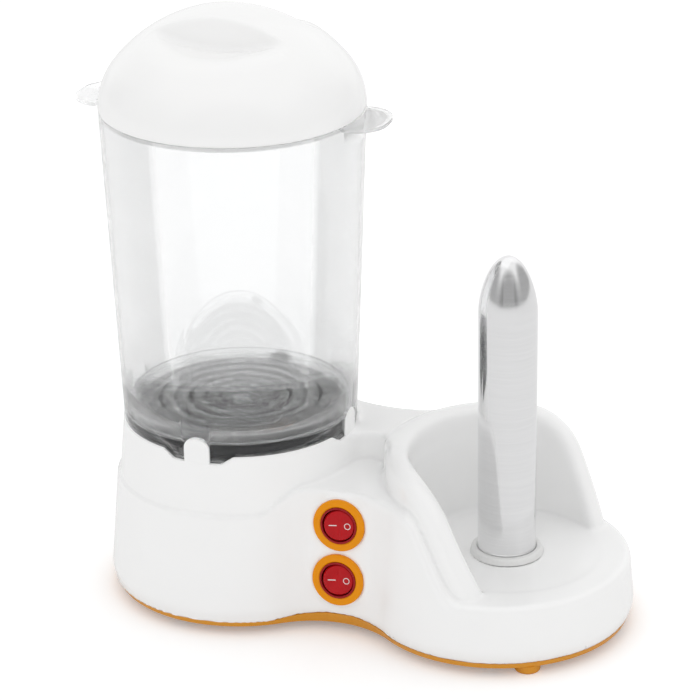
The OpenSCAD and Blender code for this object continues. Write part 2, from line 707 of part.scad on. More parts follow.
// Grooved rubber gland for the mains lead
module cord_gland() color([0.12, 0.12, 0.13])
  translate([waist_x, gland_y, gland_z]) rotate([-90, 0, 0]) difference() {
    union() {
      translate([0, 0, gland_lift]) cylinder(h = 3.5, r = gland_out_r);
      translate([0, 0, -8]) cylinder(h = 4, r = gland_r + 2);
      translate([0, 0, -8]) cylinder(h = 8 + gland_lift + 3, r = gland_r);
      translate([-gland_r, 0, -4]) cube([2 * gland_r, 7.7, 5]);
    }
    translate([0, 0, -20]) cylinder(h = 40, r = cord_r);
  }

// Insulated lead along a cubic curve with eight sides
function bez(p, t) = pow(1 - t, 3) * p[0] + 3 * t * pow(1 - t, 2) * p[1]
  + 3 * t * t * (1 - t) * p[2] + pow(t, 3) * p[3];
function unit(v) = v / norm(v);
module lead(p, r) {
  n = 14;
  m = 8;
  c = [for (i = [0:n]) bez(p, i / n)];
  d = [for (i = [0:n]) unit(bez(p, min(1, i / n + 0.01)) - bez(p, max(0, i / n - 0.01)))];
  u = [for (i = [0:n]) unit(cross(d[i], [0.31, 0.87, 0.38]))];
  ring = [for (i = [0:n], k = [0:m - 1])
    c[i] + r * (cos(360 * k / m) * u[i] + sin(360 * k / m) * cross(d[i], u[i]))];
  side = [for (i = [0:n - 1], k = [0:m - 1])
    [i * m + k, (i + 1) * m + k, (i + 1) * m + (k + 1) % m, i * m + (k + 1) % m]];
  polyhedron(ring, concat(side, [[for (k = [0:m - 1]) k], [for (k = [m - 1:-1:0]) n * m + k]]));
}

// Leads from the terminal block to the switches, and from the switches to the two heaters
module internal_leads() color([0.75, 0.74, 0.7]) {
  up = on_point(upper_switch_z);
  low = on_point(lower_switch_z);
  pin_z = dish_under - tube_r - 20.7;
  heat_z = bracket_z - bracket_t - 9.1;
  block = [block_x, block_y - 0.1, edge_z + 5];
  away = [0, -9, 0];
  inwards = 15 * [0, cos(panel_lean), -sin(panel_lean)];
  lead([block + [6, 0, 0], block + [6, 0, 0] + away, low[0] + inwards, low[0]], 1.4);
  lead([block + [17, 0, 0], block + [17, 0, 0] + away, up[0] + inwards, up[0]], 1.4);
  lead([low[1], low[1] + inwards, [spike_x - heater_r / 2 - 25, -4, heat_z - 5],
    [spike_x - heater_r / 2 - 1.2, 0, heat_z + 3]], 1.4);
  lead([up[1], up[1] + inwards, [vessel_x + ring_r * cos(60) + 14, ring_r * sin(60), pin_z - 22],
    [vessel_x + ring_r * cos(60), ring_r * sin(60), pin_z - 0.4]], 1.4);
}

function on_point(z) = [for (s = [-1, 1]) [waist_x + s * 4.5,
  panel_y(z) + 25.15 * cos(panel_lean), z - 25.15 * sin(panel_lean)]];

// Clear open-ended vessel with lifting tabs, inner ledge, cheeks and notches
module steam_vessel() color([0.8, 0.85, 0.88, 0.4]) translate([vessel_x, 0, 0]) {
  flare = (rim_r - skirt_r) / vessel_h;
  low_z = seat_z - cheek_h;
  low_r = skirt_r - flare * cheek_h;
  difference() {
    union() {
      rotate_extrude() polygon([[low_r - vessel_wall, low_z], [low_r, low_z], [rim_r, rim_z],
        [rim_r - vessel_wall, rim_z], [skirt_r - vessel_wall + flare * (tray_z - seat_z), tray_z],
        [dish_r - 3.5, tray_z],
        [dish_r - 3.5, ledge_in_z], [skirt_r - vessel_wall + flare * (ledge_in_z - seat_z), ledge_in_z]]);
      for (a = [0, 180]) rotate([0, 0, a]) difference() {
        translate([0, 0, rim_z - tab_t]) linear_extrude(tab_t) tab_plan();
        translate([0, 0, rim_z - 20]) cylinder(h = 40, r = rim_r - vessel_wall / 2);
      }
    }
    // Lower edge between the cheeks
    difference() {
      translate([0, 0, low_z - cut]) cylinder(h = cheek_h + cut, r = rim_r);
      for (i = [0:notch_n - 1])
        radial(-90 + i * 360 / notch_n, skirt_r / 2, rim_r + cut) cheek_view(0);
    }
    for (i = [0:notch_n - 1])
      radial(-90 + i * 360 / notch_n, skirt_r - vessel_wall - 0.3, rim_r + cut) notch_view(0);
  }
}

// Plan of one lifting tab with rounded corners
module tab_plan() {
  c = 0.42 * tab_w;
  translate([0, -tab_w / 2]) square([tab_reach - c, tab_w]);
  translate([0, c - tab_w / 2]) square([tab_reach, tab_w - 2 * c]);
  for (s = [-1, 1]) translate([tab_reach - c, s * (tab_w / 2 - c)]) circle(r = c);
}

// Clear perforated tray that carries the food above the water
module steam_tray() color([0.82, 0.86, 0.88, 0.5])
  translate([vessel_x, 0, tray_z]) rotate([0, 0, tray_turn - 90]) difference() {
    rotate_extrude() polygon(concat(
      [[0, 0], [tray_r, 0], [tray_r, tray_t + 2], [tray_r - 1.6, tray_t + 2], [tray_r - 1.6, tray_t]],
      [for (i = [slot_n - 1:-1:0]) each let (r = 11 + slot_pitch * i + slot_w / 2)
        [[r + 1.5, tray_t], [r + 1.5, tray_t + 1.2], [r + 0.3, tray_t + 1.2], [r + 0.3, tray_t]]],
      [[7, tray_t]],
      [for (i = [0:8]) [5 * cos(10 * i), 8 + 5 * sin(10 * i)]],
      [[0, 13]]));
    for (i = [0:slot_n - 1]) difference() {
      tube(11 + slot_pitch * i - slot_w / 2, 11 + slot_pitch * i + slot_w / 2, -cut, tray_t + cut);
      for (k = [0:spoke_n - 1]) rotate([0, 0, k * 360 / spoke_n]) translate([0, -2.2, -2 * cut])
        cube([tray_r, 4.4, tray_t + 4 * cut]);
    }
  }

// Half section of the dome, drawn in by g
module dome_half(g) {
  intersection() {
    union() {
      translate([flank_x, 0]) circle(r = lid_flank_r - g);
      intersection() {
        translate([0, lid_h - crown_r]) circle(r = crown_r - g, $fn = 200);
        polygon([[0, 0], [flank_x, 0], [2 * flank_x, crown_r - lid_h], [0, 2 * lid_h]]);
      }
    }
    square([2 * rim_r, 2 * lid_h]);
  }
}

// Scooped space on both sides of the grip bar, grown by g
module scoops(g) {
  for (s = [-1, 1]) intersection() {
    translate([0, s * grip_half, rim_z + scoop_h]) rotate([s * scoop_tilt, 0, 0]) translate([0, 0, scoop_r])
      rotate([90, 0, 0]) cylinder(h = 4 * rim_r, r = scoop_r + g, center = true, $fn = 240);
    translate([-2 * rim_r, s > 0 ? grip_half - g : -2 * rim_r - grip_half + g, rim_z])
      cube([4 * rim_r, 2 * rim_r, 2 * lid_h]);
  }
}

// Domed lid with a grip bar between two scoops and a locating lip
module lid() color([0.93, 0.93, 0.92]) translate([vessel_x, 0, 0]) {
  lip_r = rim_r - vessel_wall - 0.9;
  difference() {
    translate([0, 0, rim_z]) rotate_extrude() dome_half(0);
    scoops(0);
    difference() {
      translate([0, 0, rim_z]) rotate_extrude() dome_half(lid_wall);
      scoops(lid_wall);
    }
    translate([0, 0, rim_z - cut]) cylinder(h = cut, r = rim_r);
  }
  tube(lip_r - 2, rim_r - lid_wall + 0.5, rim_z, rim_z + 6);
  tube(lip_r - 2, lip_r, rim_z - lip_h, rim_z + cut);
}

upper_housing();
housing_turret();
base_plate();
feet();
base_screws();
water_dish();
dish_seal();
dish_clamp();
clamp_screws();
ring_element();
thermostat();
thermal_fuse();
fuse_strap();
bread_spike();
spike_collar();
spike_bracket();
bracket_screws();
spike_heater();
heater_plug();
upper_trim_ring();
lower_trim_ring();
upper_switch_case();
lower_switch_case();
upper_switch_terminals();
lower_switch_terminals();
terminal_block();
terminal_screws();
cord_gland();
internal_leads();
steam_vessel();
steam_tray();
lid();
upper_rocker();
lower_rocker();
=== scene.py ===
import math

import bmesh
import bpy
import numpy as np
from mathutils import Matrix, Vector


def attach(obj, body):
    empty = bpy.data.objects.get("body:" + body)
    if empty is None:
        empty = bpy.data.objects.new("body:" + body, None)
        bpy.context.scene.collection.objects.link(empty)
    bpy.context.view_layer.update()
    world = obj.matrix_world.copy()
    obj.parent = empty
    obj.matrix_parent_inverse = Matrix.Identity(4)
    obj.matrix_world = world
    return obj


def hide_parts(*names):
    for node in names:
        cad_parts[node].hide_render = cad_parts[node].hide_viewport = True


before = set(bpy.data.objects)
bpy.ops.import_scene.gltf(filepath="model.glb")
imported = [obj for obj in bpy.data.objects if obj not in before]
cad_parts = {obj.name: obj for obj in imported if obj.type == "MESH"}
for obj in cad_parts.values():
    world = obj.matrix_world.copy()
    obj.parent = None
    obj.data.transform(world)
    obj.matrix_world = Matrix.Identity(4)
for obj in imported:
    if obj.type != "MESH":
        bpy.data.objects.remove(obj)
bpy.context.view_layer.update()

scene = bpy.context.scene

# Camera: a long lens to the right of the front and a little above the object,
# so that the vessel, the guard and both switches show at once.
lens = bpy.data.cameras.new("camera")
lens.lens = 166.6
lens.sensor_width = 36.0
lens.clip_start = 0.05
lens.clip_end = 30.0
camera = bpy.data.objects.new("camera", lens)
scene.collection.objects.link(camera)
cam_right = (0.93868, 0.34450, -0.01350)
cam_up = (-0.12165, 0.36759, 0.92198)
cam_back = (0.32259, -0.86381, 0.38697)
cam_place = (0.54755, -1.47360, 0.80270)
camera.matrix_world = Matrix([
    (cam_right[i], cam_up[i], cam_back[i], cam_place[i]) for i in range(3)] + [(0, 0, 0, 1)])
scene.camera = camera
scene.view_settings.view_transform = "Standard"

# Studio: a pale floor that runs out to the horizon and a white surround, a little dimmer overhead.
# Polished faces see it darker behind the camera and at the sides, as between wide soft boxes, and
# three wide lamps give form.
camera_turn = math.radians(-20.0)
horizon_light, overhead_light = 0.925, 0.87
side_fade, side_shades = (0.58, 0.90), (1.0, 0.45)
front_fade, front_shades = (-0.90, -0.45), (0.30, 1.0)
floor_half, floor_shade, floor_rough, floor_lift = 9.0, 0.92, 0.6, 0.22
lamp_aim = Vector((0.0, 0.0, 0.16))


def seen_directly(tree, path):
    """Value that is 1 for what the camera sees, also through clear faces, and 0 for other rays."""
    seen = tree.nodes.new("ShaderNodeMath")
    seen.operation = "MAXIMUM"
    tree.links.new(path.outputs["Is Camera Ray"], seen.inputs[0])
    tree.links.new(path.outputs["Is Transmission Ray"], seen.inputs[1])
    return seen.outputs["Value"]


world = bpy.data.worlds.new("surround")
scene.world = world
world.use_nodes = True
tree = world.node_tree
sky = tree.nodes["Background"]
path = tree.nodes.new("ShaderNodeLightPath")
where = tree.nodes.new("ShaderNodeTexCoord")
turn = tree.nodes.new("ShaderNodeMapping")
turn.inputs["Rotation"].default_value = (0.0, 0.0, camera_turn)
split = tree.nodes.new("ShaderNodeSeparateXYZ")
side = tree.nodes.new("ShaderNodeMath")
side.operation = "ABSOLUTE"
tree.links.new(where.outputs["Generated"], turn.inputs["Vector"])
tree.links.new(turn.outputs["Vector"], split.inputs["Vector"])
tree.links.new(split.outputs["X"], side.inputs[0])
mirrored = tree.nodes.new("ShaderNodeMath")
mirrored.operation = "MULTIPLY"
for factor, source, fade, shades in (
        (mirrored.inputs[0], side.outputs["Value"], side_fade, side_shades),
        (mirrored.inputs[1], split.outputs["Y"], front_fade, front_shades)):
    shade = tree.nodes.new("ShaderNodeMapRange")
    shade.interpolation_type = "SMOOTHSTEP"
    shade.inputs["From Min"].default_value, shade.inputs["From Max"].default_value = fade
    shade.inputs["To Min"].default_value, shade.inputs["To Max"].default_value = shades
    tree.links.new(source, shade.inputs["Value"])
    tree.links.new(shade.outputs["Result"], factor)
height = tree.nodes.new("ShaderNodeMapRange")
height.inputs["To Min"].default_value = horizon_light
height.inputs["To Max"].default_value = overhead_light
tree.links.new(split.outputs["Z"], height.inputs["Value"])
level = tree.nodes.new("ShaderNodeMix")
tree.links.new(height.outputs["Result"], level.inputs["A"])
tree.links.new(path.outputs["Is Glossy Ray"], level.inputs["Factor"])
tree.links.new(mirrored.outputs["Value"], level.inputs["B"])
shown = tree.nodes.new("ShaderNodeMix")
shown.inputs["B"].default_value = 1.0
tree.links.new(seen_directly(tree, path), shown.inputs["Factor"])
tree.links.new(level.outputs["Result"], shown.inputs["A"])
tree.links.new(shown.outputs["Result"], sky.inputs["Strength"])
sky.inputs["Color"].default_value = (1.0, 1.0, 1.0, 1.0)

floor_mesh = bpy.data.meshes.new("floor")
floor_corners = [(floor_half * a, floor_half * b, 0) for a, b in ((-1, -1), (1, -1), (1, 1), (-1, 1))]
floor_mesh.from_pydata(floor_corners, [], [(0, 1, 2, 3)])
floor = bpy.data.objects.new("floor", floor_mesh)
scene.collection.objects.link(floor)
pale = bpy.data.materials.new("pale_floor")
pale.use_nodes = True
tree = pale.node_tree
shader = tree.nodes["Principled BSDF"]
shader.inputs["Base Color"].default_value = (floor_shade, floor_shade, floor_shade, 1.0)
shader.inputs["Specular IOR Level"].default_value = 0.0
shader.inputs["Roughness"].default_value = floor_rough
glow = tree.nodes.new("ShaderNodeEmission")
lift = tree.nodes.new("ShaderNodeMath")
lift.operation = "MULTIPLY"
lift.inputs[1].default_value = floor_lift
both = tree.nodes.new("ShaderNodeAddShader")
tree.links.new(seen_directly(tree, tree.nodes.new("ShaderNodeLightPath")), lift.inputs[0])
tree.links.new(lift.outputs["Value"], glow.inputs["Strength"])
tree.links.new(shader.outputs["BSDF"], both.inputs[0])
tree.links.new(glow.outputs["Emission"], both.inputs[1])
tree.links.new(both.outputs["Shader"], tree.nodes["Material Output"].inputs["Surface"])
floor_mesh.materials.append(pale)

for name, place, size, power in (
        ("top_lamp", (-0.35, 0.10, 2.30), (2.6, 2.2), 2.8),
        ("front_lamp", (0.75, -1.80, 0.80), (1.8, 1.4), 1.0),
        ("back_lamp", (0.60, 1.50, 1.60), (1.8, 1.8), 1.4)):
    lamp = bpy.data.lights.new(name, "AREA")
    lamp.shape = "RECTANGLE"
    lamp.size, lamp.size_y = size
    lamp.energy = power
    rig = bpy.data.objects.new(name, lamp)
    rig.location = place
    rig.rotation_euler = (lamp_aim - Vector(place)).to_track_quat("-Z", "Y").to_euler()
    scene.collection.objects.link(rig)

# Housing: one glossy white ABS moulding with a wall of 2.5 mm. The turret carries the vessel, the
# waist the switches and the deck the spike; every edge and root is rounded, and it opens below.
mm = 0.001


def finish(name, colours, rough, grain=60.0, stretch=(1, 1, 1), relief=0.0, **sockets):
    """Finish whose colour and roughness drift between two values along a fine grain.

    Other sockets of the shader are given by name, with an underscore for each space.
    """
    drift = (0.3, 0.7)
    mat = bpy.data.materials.new(name)
    mat.use_nodes = True
    tree = mat.node_tree
    shader = tree.nodes["Principled BSDF"]
    coord = tree.nodes.new("ShaderNodeTexCoord")
    grain_axes = tree.nodes.new("ShaderNodeMapping")
    grain_axes.inputs["Scale"].default_value = stretch
    noise = tree.nodes.new("ShaderNodeTexNoise")
    noise.inputs["Scale"].default_value = grain
    noise.inputs["Detail"].default_value = 3.0
    tint = tree.nodes.new("ShaderNodeValToRGB")
    for stop, at, colour in zip(tint.color_ramp.elements, drift, colours):
        stop.position = at
        stop.color = (*colour, 1.0)
    gloss = tree.nodes.new("ShaderNodeMapRange")
    gloss.inputs["From Min"].default_value, gloss.inputs["From Max"].default_value = drift
    gloss.inputs["To Min"].default_value, gloss.inputs["To Max"].default_value = rough
    tree.links.new(coord.outputs["Object"], grain_axes.inputs["Vector"])
    tree.links.new(grain_axes.outputs["Vector"], noise.inputs["Vector"])
    tree.links.new(noise.outputs["Fac"], tint.inputs["Fac"])
    tree.links.new(noise.outputs["Fac"], gloss.inputs["Value"])
    tree.links.new(tint.outputs["Color"], shader.inputs["Base Color"])
    tree.links.new(gloss.outputs["Result"], shader.inputs["Roughness"])
    if relief:
        bump = tree.nodes.new("ShaderNodeBump")
        bump.inputs["Distance"].default_value = relief
        tree.links.new(noise.outputs["Fac"], bump.inputs["Height"])
        tree.links.new(bump.outputs["Normal"], shader.inputs["Normal"])
    for socket, value in sockets.items():
        shader.inputs[socket.replace("_", " ")].default_value = value
    return mat


def shade_smooth(mesh, sharp):
    """Rounded shading, apart from edges that turn by more than an angle in degrees."""
    mesh.polygons.foreach_set("use_smooth", [True] * len(mesh.polygons))
    mesh.set_sharp_from_angle(angle=math.radians(sharp))


def to_mesh(name, points, faces, frame_at=None, sharp=40.0):
    """Mesh from points in millimetres, with rounded shading and outward faces."""
    mesh = bpy.data.meshes.new(name)
    work = bmesh.new()
    corners = [work.verts.new(Vector(p)) for p in points.tolist()]
    for f in faces:
        work.faces.new([corners[i] for i in f])
    bmesh.ops.remove_doubles(work, verts=work.verts, dist=1e-4)
    bmesh.ops.dissolve_degenerate(work, edges=work.edges, dist=1e-5)
    bmesh.ops.recalc_face_normals(work, faces=work.faces)
    work.to_mesh(mesh)
    work.free()
    mesh.transform(Matrix.Scale(mm, 4) @ (frame_at or Matrix.Identity(4)))
    shade_smooth(mesh, sharp)
    return mesh


def new_piece(name, mesh, material, body, slot, *nodes):
    """Object at the origin that rides on a body and stands for the named solids."""
    piece = bpy.data.objects.new(name, mesh)
    scene.collection.objects.link(piece)
    mesh.materials.clear()
    mesh.materials.append(material)
    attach(piece, body)
    if nodes:
        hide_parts(*nodes)


def skin(field, low, high, step):
    """Points and faces of the closed surface where a distance field, in millimetres, is zero."""
    axes = [np.arange(a, b + step, step) for a, b in zip(low, high)]
    value = field(*np.meshgrid(*axes, indexing="ij"))
    size = np.array(value.shape) - 1
    corner = [(i, j, k) for i in (0, 1) for j in (0, 1) for k in (0, 1)]
    part = [value[i:i + size[0], j:j + size[1], k:k + size[2]] for i, j, k in corner]
    count = sum((p < 0).astype(int) for p in part)
    cells = np.argwhere((count > 0) & (count < 8))
    # One point for each cell that the surface crosses, in the middle of its crossings
    at = [p[tuple(cells.T)] for p in part]
    total = np.zeros((len(cells), 3))
    met = np.zeros(len(cells))
    for a in range(8):
        for b in range(a + 1, 8):
            if sum(abs(p - q) for p, q in zip(corner[a], corner[b])) != 1:
                continue
            hit = (at[a] < 0) != (at[b] < 0)
            t = at[a][hit] / (at[a][hit] - at[b][hit])
            start, end = np.array(corner[a], float), np.array(corner[b], float)
            total[hit] += start + t[:, None] * (end - start)
            met[hit] += 1
    points = (cells + total / met[:, None]) * step + np.array(low)
    # Points drawn on to the surface, by a few short steps down the slope of the field
    probe, furthest, least_slope = 0.04, 0.4 * step, 0.2
    for _ in range(5):
        here = field(*points.T)
        slope = np.stack([(field(*(points + d).T) - field(*(points - d).T)) / (2 * probe)
                          for d in np.eye(3) * probe], -1)
        move = here / np.maximum((slope ** 2).sum(-1), least_slope)
        points = points - np.clip(move, -furthest, furthest)[:, None] * slope
    # One face for each grid edge that the surface crosses
    index = np.full(size, -1)
    index[tuple(cells.T)] = np.arange(len(cells))
    faces = []
    for axis in range(3):
        u, v = (axis + 1) % 3, (axis + 2) % 3
        first = np.take(value, range(0, size[axis]), axis) < 0
        second = np.take(value, range(1, size[axis] + 1), axis) < 0
        for crossing, order in ((first & ~second, 1), (second & ~first, -1)):
            spot = np.argwhere(crossing)
            inner = (spot[:, u] > 0) & (spot[:, v] > 0)
            inner &= (spot[:, u] < size[u]) & (spot[:, v] < size[v])
            spot = spot[inner]
            quad = []
            for du, dv in ((-1, -1), (0, -1), (0, 0), (-1, 0)):
                cell = spot.copy()
                cell[:, u] += du
                cell[:, v] += dv
                quad.append(index[tuple(cell.T)])
            faces.append(np.stack(quad[::order], -1))
    return points, np.concatenate(faces).tolist()


def soft_max(a, b, k):
    """Larger of two fields, with a rounding of about k where they meet."""
    h = np.clip(0.5 + 0.5 * (a - b) / k, 0.0, 1.0)
    return b + (a - b) * h + k * h * (1.0 - h)


def soft_min(a, b, k):
    """Smaller of two fields, with a rounding of about k where they meet."""
    return -soft_max(-a, -b, k)


def share(value, start, run):
    """Share from 0 to 1 that a value has gone of a run from a start."""
    return np.clip((value - start) / run, 0.0, 1.0)


# Plan and wall
vessel_x, waist_x, lobe_x, spike_x = -65.75, 6.75, 79.25, 84.25
lobe_r, waist_r, waist_y = 72.5, 45.125, 92.625
wall_t, wall_slope, wall_steep, wall_foot_z = 2.5, 0.09, 1.004, 12.5
edge_z, arch_z, arch_r = 7.5, 11.0, 166.9
# Height line, turret and bridge
shoulder_z, shelf_z, deck_z = 67.5, 80.0, 39.0
rise_x, rise_run, rise_slope = vessel_x + 30.0, 22.0, 0.8925
fall_x, fall_run, fall_slope = spike_x - 38.0, 34.0, 1.894
turret_r, turret_top = 63.0, 100.0
bridge_front, bridge_top, bridge_end, bridge_overlap = -9.0, 95.0, 62.0, 3.0
back_x, back_y, back_r = vessel_x + 74.09, 113.3, 72.77
turret_plane, guard_plane = (-0.837, 0.547), (0.831, 0.557)
cove_x, cove_r = 8.75, 11.5
# Guard
guard_in, guard_out, guard_top, guard_low = 51.0, 64.0, 98.5, 30.0
guard_turn, arm_steep = math.radians(160.0), math.radians(63.0)
bend_r, bend_u, arm_foot_u = 39.865, 31.25, -23.5
# Switch pad
upper_z, lower_z, switch_off = 62.5, 32.0, 15.31
pad_r, pad_proud, pad_depth = 15.2, 2.0, 8.0
lean_angle = math.atan(wall_slope)
# Screw bosses and openings
boss_r, boss_circle = 4.5, 65.5
vessel_bosses, vessel_boss_top = (100, 180, 260), 45.5
lobe_bosses, lobe_boss_top = (-75, 0, 75), 37.7
dish_bore, dish_seat, ledge_bore, ledge_z = 59.0, 96.0, 52.6, 90.0
pocket_in, pocket_out, pocket_half = 58.0, 67.0, 13.05
pocket_z, pocket_flare, pocket_lean = 95.7, 1.533, 0.546
collar_bore, collar_floor = 18.25, 30.0
barrel_bore, barrel_depth, ring_bore = 11.2, 9.0, 14.5
gland_bore, gland_y, gland_z = 6.05, 30.0, 19.0


def panel_y(z):
    """Face of the switch pad at a height, which leans back with the wall of the waist."""
    return wall_slope * (z - wall_foot_z) - (waist_y - waist_r) - pad_proud


def on_panel_axes(y, z):
    """Height along the switch panel and distance out of it, from the middle of the panel."""
    mid = (upper_z + lower_z) / 2
    dy, dz = y - panel_y(mid), z - mid
    return (dy * math.sin(lean_angle) + dz * math.cos(lean_angle),
            -dy * math.cos(lean_angle) + dz * math.sin(lean_angle))


def lobes_and_waist(x, y, z):
    """Two leaning lobes tangent to a waist; the top climbs to the shelf and falls to the deck."""
    across = np.abs(y)
    left = np.hypot(x - vessel_x, across) - lobe_r
    right = np.hypot(x - lobe_x, across) - lobe_r
    waist = waist_r - np.hypot(x - waist_x, across - waist_y)
    plan = np.where((x - vessel_x) * waist_y < across * (waist_x - vessel_x), left,
                    np.where((lobe_x - x) * waist_y < across * (lobe_x - waist_x), right, waist))
    lean = soft_max(wall_slope * (z - wall_foot_z), 0.4 * (wall_foot_z - z), 1.5)
    up, down = np.pi * share(x, rise_x, rise_run), np.pi * share(x, fall_x, fall_run)
    rise, fall = (shelf_z - shoulder_z) / 2, (shelf_z - deck_z) / 2
    level = shoulder_z + rise * (1 - np.cos(up)) - fall * (1 - np.cos(down))
    slope = rise_slope * np.sin(up) - fall_slope * np.sin(down)
    top = (z - level) / np.sqrt(1.0 + slope ** 2)
    return soft_max((plan + lean) / wall_steep, top, 1.3 + 2.7 * share(x, -10.0, 60.0))


def bridge_form(x, y, z):
    """Bridge between turret and guard, curved at the back, with a round cove in front.

    It ends a little past the upright planes from the two axes to the middle of its back curve.
    """
    form = np.maximum(back_r - np.hypot(x - back_x, y - back_y), bridge_front - y)
    for axis_x, (along, across) in ((vessel_x, turret_plane), (spike_x, guard_plane)):
        form = np.maximum(form, (x - axis_x) * along + y * across - bridge_overlap)
    form = np.maximum(form, bridge_end - np.hypot(x - spike_x, y))
    form = soft_max(form, z - bridge_top, 3.5)
    return soft_max(form, cove_r - np.hypot(x - cove_x, y - bridge_front), 3.0)


def guard_form(x, y, z):
    """Ring wall behind the spike, level at its back, whose arms bend and slope to the deck."""
    u = (x - spike_x) * math.cos(guard_turn) + y * math.sin(guard_turn)
    bend_z = guard_top - bend_r
    swing = np.arctan2(bend_u - u, z - bend_z)
    slant = (z - deck_z) * math.cos(arm_steep) - (u - arm_foot_u) * math.sin(arm_steep)
    bend = np.hypot(bend_u - u, z - bend_z) - bend_r
    rim = np.where(swing <= 0.0, z - guard_top, np.where(swing <= arm_steep, bend, slant))
    ring = np.hypot(x - spike_x, y)
    form = soft_max(np.maximum(ring - guard_out, guard_in - ring), rim, 7.0)
    return np.maximum(form, guard_low - z)


def outer_form(x, y, z):
    """Outside of the moulding above its lower edge, negative inside."""
    turret = np.hypot(x - vessel_x, y) - turret_r - wall_slope * (turret_top - z)
    turret = soft_max(turret / wall_steep, z - turret_top, 1.2)
    form = soft_min(lobes_and_waist(x, y, z), turret, 0.7 + 1.3 * share(x, -40.0, 30.0))
    form = soft_min(form, bridge_form(x, y, z), 2.0)
    near_bridge = share(y, -34.0, 18.0) * share(spike_x - x, 15.0, 20.0)
    form = soft_min(form, guard_form(x, y, z), 1.6 + 5.4 * near_bridge)
    bay = soft_max(np.hypot(x - spike_x, y) - guard_in, deck_z - z, 5.0)
    form = soft_max(form, -bay, 1.5)
    v, w = on_panel_axes(y, z)
    pad = np.hypot(x - waist_x, np.maximum(np.abs(v) - switch_off, 0.0)) - pad_r
    pad = np.maximum(soft_max(pad, w, 1.2), -w - pad_depth)
    return soft_min(form, pad, 3.0)


def housing_field(x, y, z):
    """Shell of the moulding with its screw bosses and its openings."""
    form = outer_form(x, y, z)
    hollow = np.maximum(form + wall_t, z - dish_seat + wall_t)
    form = soft_max(form, edge_z - z, 0.6)
    form = soft_max(form, arch_r - np.hypot(x - waist_x, z - arch_z + arch_r), 0.6)
    shell = np.maximum(form, -hollow)
    for cx, angles, top in ((vessel_x, vessel_bosses, vessel_boss_top), (lobe_x, lobe_bosses, lobe_boss_top)):
        for a in np.radians(angles):
            off = np.hypot(x - cx - boss_circle * math.cos(a), y - boss_circle * math.sin(a))
            shell = np.minimum(shell, np.maximum(np.maximum(off - boss_r, z - top), form))
    dx, dy = np.abs(x - vessel_x), np.abs(y)
    rho = np.hypot(dx, dy)
    shell = np.maximum(shell, -np.maximum(rho - dish_bore, dish_seat - z))
    shell = np.maximum(shell, -np.maximum(rho - ledge_bore, ledge_z - z))
    pocket = (np.minimum(dx, dy) - pocket_half - pocket_flare * (z - pocket_z)) * pocket_lean
    pocket = np.maximum(pocket, pocket_z - z)
    pocket = np.maximum(pocket, np.maximum(pocket_in - rho, rho - pocket_out))
    shell = soft_max(shell, -pocket, 0.5)
    shell = np.maximum(shell, -np.maximum(np.hypot(x - spike_x, y) - collar_bore, collar_floor - z))
    v, w = on_panel_axes(y, z)
    for at in (-switch_off, switch_off):
        off = np.hypot(x - waist_x, v - at)
        shell = np.maximum(shell, -np.maximum(off - barrel_bore, -barrel_depth - w))
        shell = soft_max(shell, -np.maximum(off - ring_bore, -w), 0.4)
    gland = np.hypot(x - waist_x, np.maximum(z - gland_z, 0.0)) - gland_bore
    return np.maximum(shell, -np.maximum(gland, gland_y - y))


white = finish("white_gloss", ((0.966, 0.966, 0.962), (0.976, 0.976, 0.973)), (0.16, 0.22),
               grain=35.0, relief=0.00002, Specular_IOR_Level=0.5, Coat_Weight=0.1, Coat_Roughness=0.06)
housing_low = (vessel_x - lobe_r - 1.35, -lobe_r - 1.7, edge_z - 1.2)
housing_high = (lobe_x + lobe_r + 1.65, lobe_r + 1.7, turret_top + 1.8)
points, faces = skin(housing_field, housing_low, housing_high, step=1.5)
new_piece("housing_shell", to_mesh("housing_shell", points, faces, sharp=60.0), white, "base",
          "white_shell", "upper_housing", "housing_turret")

# Turret keys: four arched tongues of the same white moulding that stand in the notches of the
# vessel, so that it can only be set down in its place; one is drawn and set round the turret.
key_in, key_out, key_foot_z = 60.45, 63.1, 94.5
key_arch_z, key_arch_r, key_widen = 103.25, 5.95, 1.2
key_low, key_high = (-8.2, -64.0, 94.0), (8.2, -59.0, 110.0)
key_turns = [(0, 0, math.radians(a)) for a in (0, 90, 180, 270)]


def repeat_group():
    """Node group that sets one unit on every point, turned as its point says, in one finish."""
    group = bpy.data.node_groups.new("repeat_on_points", "GeometryNodeTree")
    for label, kind in (
            ("Geometry", "Geometry"), ("Unit", "Object"), ("Size", "Float"), ("Finish", "Material")):
        group.interface.new_socket(label, in_out="INPUT", socket_type="NodeSocket" + kind)
    group.interface.new_socket("Geometry", in_out="OUTPUT", socket_type="NodeSocketGeometry")
    start = group.nodes.new("NodeGroupInput")
    unit = group.nodes.new("GeometryNodeObjectInfo")
    turn = group.nodes.new("GeometryNodeInputNamedAttribute")
    turn.data_type = "FLOAT_VECTOR"
    turn.inputs["Name"].default_value = "turn"
    spread = group.nodes.new("GeometryNodeInstanceOnPoints")
    real = group.nodes.new("GeometryNodeRealizeInstances")
    paint = group.nodes.new("GeometryNodeSetMaterial")
    end = group.nodes.new("NodeGroupOutput")
    for source, target in (
            (start.outputs["Geometry"], spread.inputs["Points"]),
            (start.outputs["Unit"], unit.inputs["Object"]),
            (unit.outputs["Geometry"], spread.inputs["Instance"]),
            (turn.outputs["Attribute"], spread.inputs["Rotation"]),
            (start.outputs["Size"], spread.inputs["Scale"]),
            (spread.outputs["Instances"], real.inputs["Geometry"]),
            (real.outputs["Geometry"], paint.inputs["Geometry"]),
            (start.outputs["Finish"], paint.inputs["Material"]),
            (paint.outputs["Geometry"], end.inputs["Geometry"])):
        group.links.new(source, target)
    return group


repeat = repeat_group()


